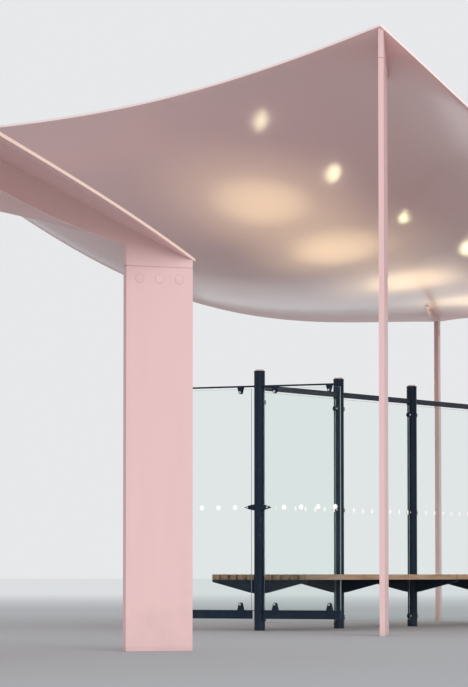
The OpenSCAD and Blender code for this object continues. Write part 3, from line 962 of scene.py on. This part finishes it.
class SHELTER_OT_stage(bpy.types.Operator):
    """Sets up the floor, the light and the camera"""

    bl_idname = "shelter.stage"
    bl_label = "Stage"

    def execute(self, context):
        stage = context.scene.shelter_stage
        self.add_floor(stage)
        self.light_world(context.scene, stage)
        self.add_sun(context.scene, stage)
        self.add_bounce(context.scene, stage)
        self.add_camera(context.scene, stage)
        context.scene.view_settings.view_transform = "Standard"
        return {"FINISHED"}

    def add_floor(self, stage):
        """A wide plain floor."""
        bpy.ops.object.select_all(action="DESELECT")
        bpy.ops.mesh.primitive_circle_add(vertices=96, radius=FLOOR_RADIUS, fill_type="NGON")
        floor = bpy.context.active_object
        floor.name = "floor"
        t = Tree("pale_floor")
        reach = t.add("ShaderNodeVectorMath", {0: t.place}, operation="LENGTH").outputs["Value"]
        far = t.remap(reach, *FLOOR_TURN, 0, 1)
        tone = t.mix(far, rgba(stage.floor), rgba(stage.far_floor))
        floor.data.materials.append(
            t.finish(Base_Color=tone, Roughness=0.85, Specular_IOR_Level=0.1))

    def light_world(self, scene, stage):
        """Soft light from all sides, with a pale background for what sees it directly."""
        world = bpy.data.worlds.new("sky")
        world.use_nodes = True
        nodes, links = world.node_tree.nodes, world.node_tree.links
        light = nodes["Background"]
        light.inputs["Color"].default_value = SKY_TINT
        light.inputs["Strength"].default_value = stage.sky_light
        seen = nodes.new("ShaderNodeBackground")
        seen.inputs["Color"].default_value = rgba(stage.sky)
        seen.inputs["Strength"].default_value = 1.0
        path = nodes.new("ShaderNodeLightPath")
        mix = nodes.new("ShaderNodeMixShader")
        seen_by = path.outputs["Is Camera Ray"]
        for ray in ("Is Glossy Ray", "Is Transmission Ray"):
            either = nodes.new("ShaderNodeMath")
            either.operation = "MAXIMUM"
            links.new(seen_by, either.inputs[0])
            links.new(path.outputs[ray], either.inputs[1])
            seen_by = either.outputs[0]
        links.new(seen_by, mix.inputs["Fac"])
        links.new(light.outputs[0], mix.inputs[1])
        links.new(seen.outputs[0], mix.inputs[2])
        links.new(mix.outputs[0], nodes["World Output"].inputs["Surface"])
        scene.world = world

    def add_sun(self, scene, stage):
        """One broad soft light from behind and above the camera, on its right."""
        light = bpy.data.lights.new("soft_sun", "SUN")
        light.energy = stage.sun_light
        light.angle = math.radians(SUN_SPREAD)
        sun = bpy.data.objects.new("soft_sun", light)
        scene.collection.objects.link(sun)
        turn = stage.heading + SUN_TURN
        towards = Vector((math.cos(turn), math.sin(turn), SUN_SLOPE))
        sun.rotation_euler = towards.to_track_quat("-Z", "Y").to_euler()

    def add_bounce(self, scene, stage):
        """Faint light from the ground, and a bright patch far behind that only shows in gloss."""
        bounce = self.add_ground_light(
            scene, "ground_bounce", BOUNCE_PLACE, 0, BOUNCE_SIZE, stage.bounce)
        bounce.data.color = stage.bounce_colour
        bounce.visible_glossy = False
        shine = self.add_ground_light(
            scene, "ground_shine", SHINE_PLACE, stage.heading, SHINE_SIZE, stage.shine)
        shine.visible_diffuse = False

    def add_ground_light(self, scene, name, place, turn, size, strength):
        """A flat light on the floor that faces up and isn't seen itself."""
        light = bpy.data.lights.new(name, "AREA")
        light.shape = "RECTANGLE"
        light.size, light.size_y = size
        light.energy = strength * math.pi * light.size * light.size_y
        holder = bpy.data.objects.new(name, light)
        scene.collection.objects.link(holder)
        holder.location = place
        holder.rotation_euler = (math.pi, 0, turn)
        holder.visible_camera = holder.visible_transmission = False
        return holder

    def add_camera(self, scene, stage):
        """The photograph's view."""
        lens = bpy.data.cameras.new("camera")
        lens.sensor_fit = "VERTICAL"
        lens.sensor_height = SENSOR_HEIGHT
        lens.lens = stage.lens
        lens.clip_end = VIEW_DEPTH
        camera = bpy.data.objects.new("camera", lens)
        scene.collection.objects.link(camera)
        camera.location = stage.eye
        flat = math.cos(stage.pitch)
        towards = Vector(
            (flat * math.cos(stage.heading), flat * math.sin(stage.heading), math.sin(stage.pitch)))
        camera.rotation_euler = towards.to_track_quat("-Z", "Y").to_euler()
        scene.camera = camera


class SHELTER_PT_panel(bpy.types.Panel):
    """Lists the shelter's settings and steps"""

    bl_label = "Bus shelter"
    bl_idname = "SHELTER_PT_panel"
    bl_space_type = "VIEW_3D"
    bl_region_type = "UI"
    bl_category = "Shelter"

    def draw(self, context):
        for operator in OPERATORS:
            self.layout.operator(operator.bl_idname)
        for name in GROUPS:
            group = getattr(context.scene, name)
            box = self.layout.box()
            for field in group.bl_rna.properties:
                if field.identifier not in ("rna_type", "name"):
                    box.prop(group, field.identifier)


GROUPS = {
    "shelter_roof": RoofSettings,
    "shelter_screens": ScreenSettings,
    "shelter_lamps": LampSettings,
    "shelter_bench": BenchSettings,
    "shelter_stage": StageSettings,
}
OPERATORS = (
    SHELTER_OT_stage,
    SHELTER_OT_roof,
    SHELTER_OT_columns,
    SHELTER_OT_frames,
    SHELTER_OT_glass,
    SHELTER_OT_dots,
    SHELTER_OT_lamps,
    SHELTER_OT_fittings,
    SHELTER_OT_bench,
)


def register():
    """Registers the classes and gives the scene its settings."""
    for name, group in GROUPS.items():
        bpy.utils.register_class(group)
        setattr(bpy.types.Scene, name, PointerProperty(type=group))
    for operator in OPERATORS:
        bpy.utils.register_class(operator)
    bpy.utils.register_class(SHELTER_PT_panel)


def unregister():
    """Takes the classes and settings away again."""
    bpy.utils.unregister_class(SHELTER_PT_panel)
    for operator in reversed(OPERATORS):
        bpy.utils.unregister_class(operator)
    for name, group in GROUPS.items():
        delattr(bpy.types.Scene, name)
        bpy.utils.unregister_class(group)


def main():
    """Makes everything, in order."""
    register()
    bpy.ops.shelter.stage()
    bpy.ops.shelter.roof()
    bpy.ops.shelter.columns()
    bpy.ops.shelter.frames()
    bpy.ops.shelter.glass()
    bpy.ops.shelter.dots()
    bpy.ops.shelter.lamps()
    bpy.ops.shelter.fittings()
    bpy.ops.shelter.bench()


if __name__ == "__main__":
    main()
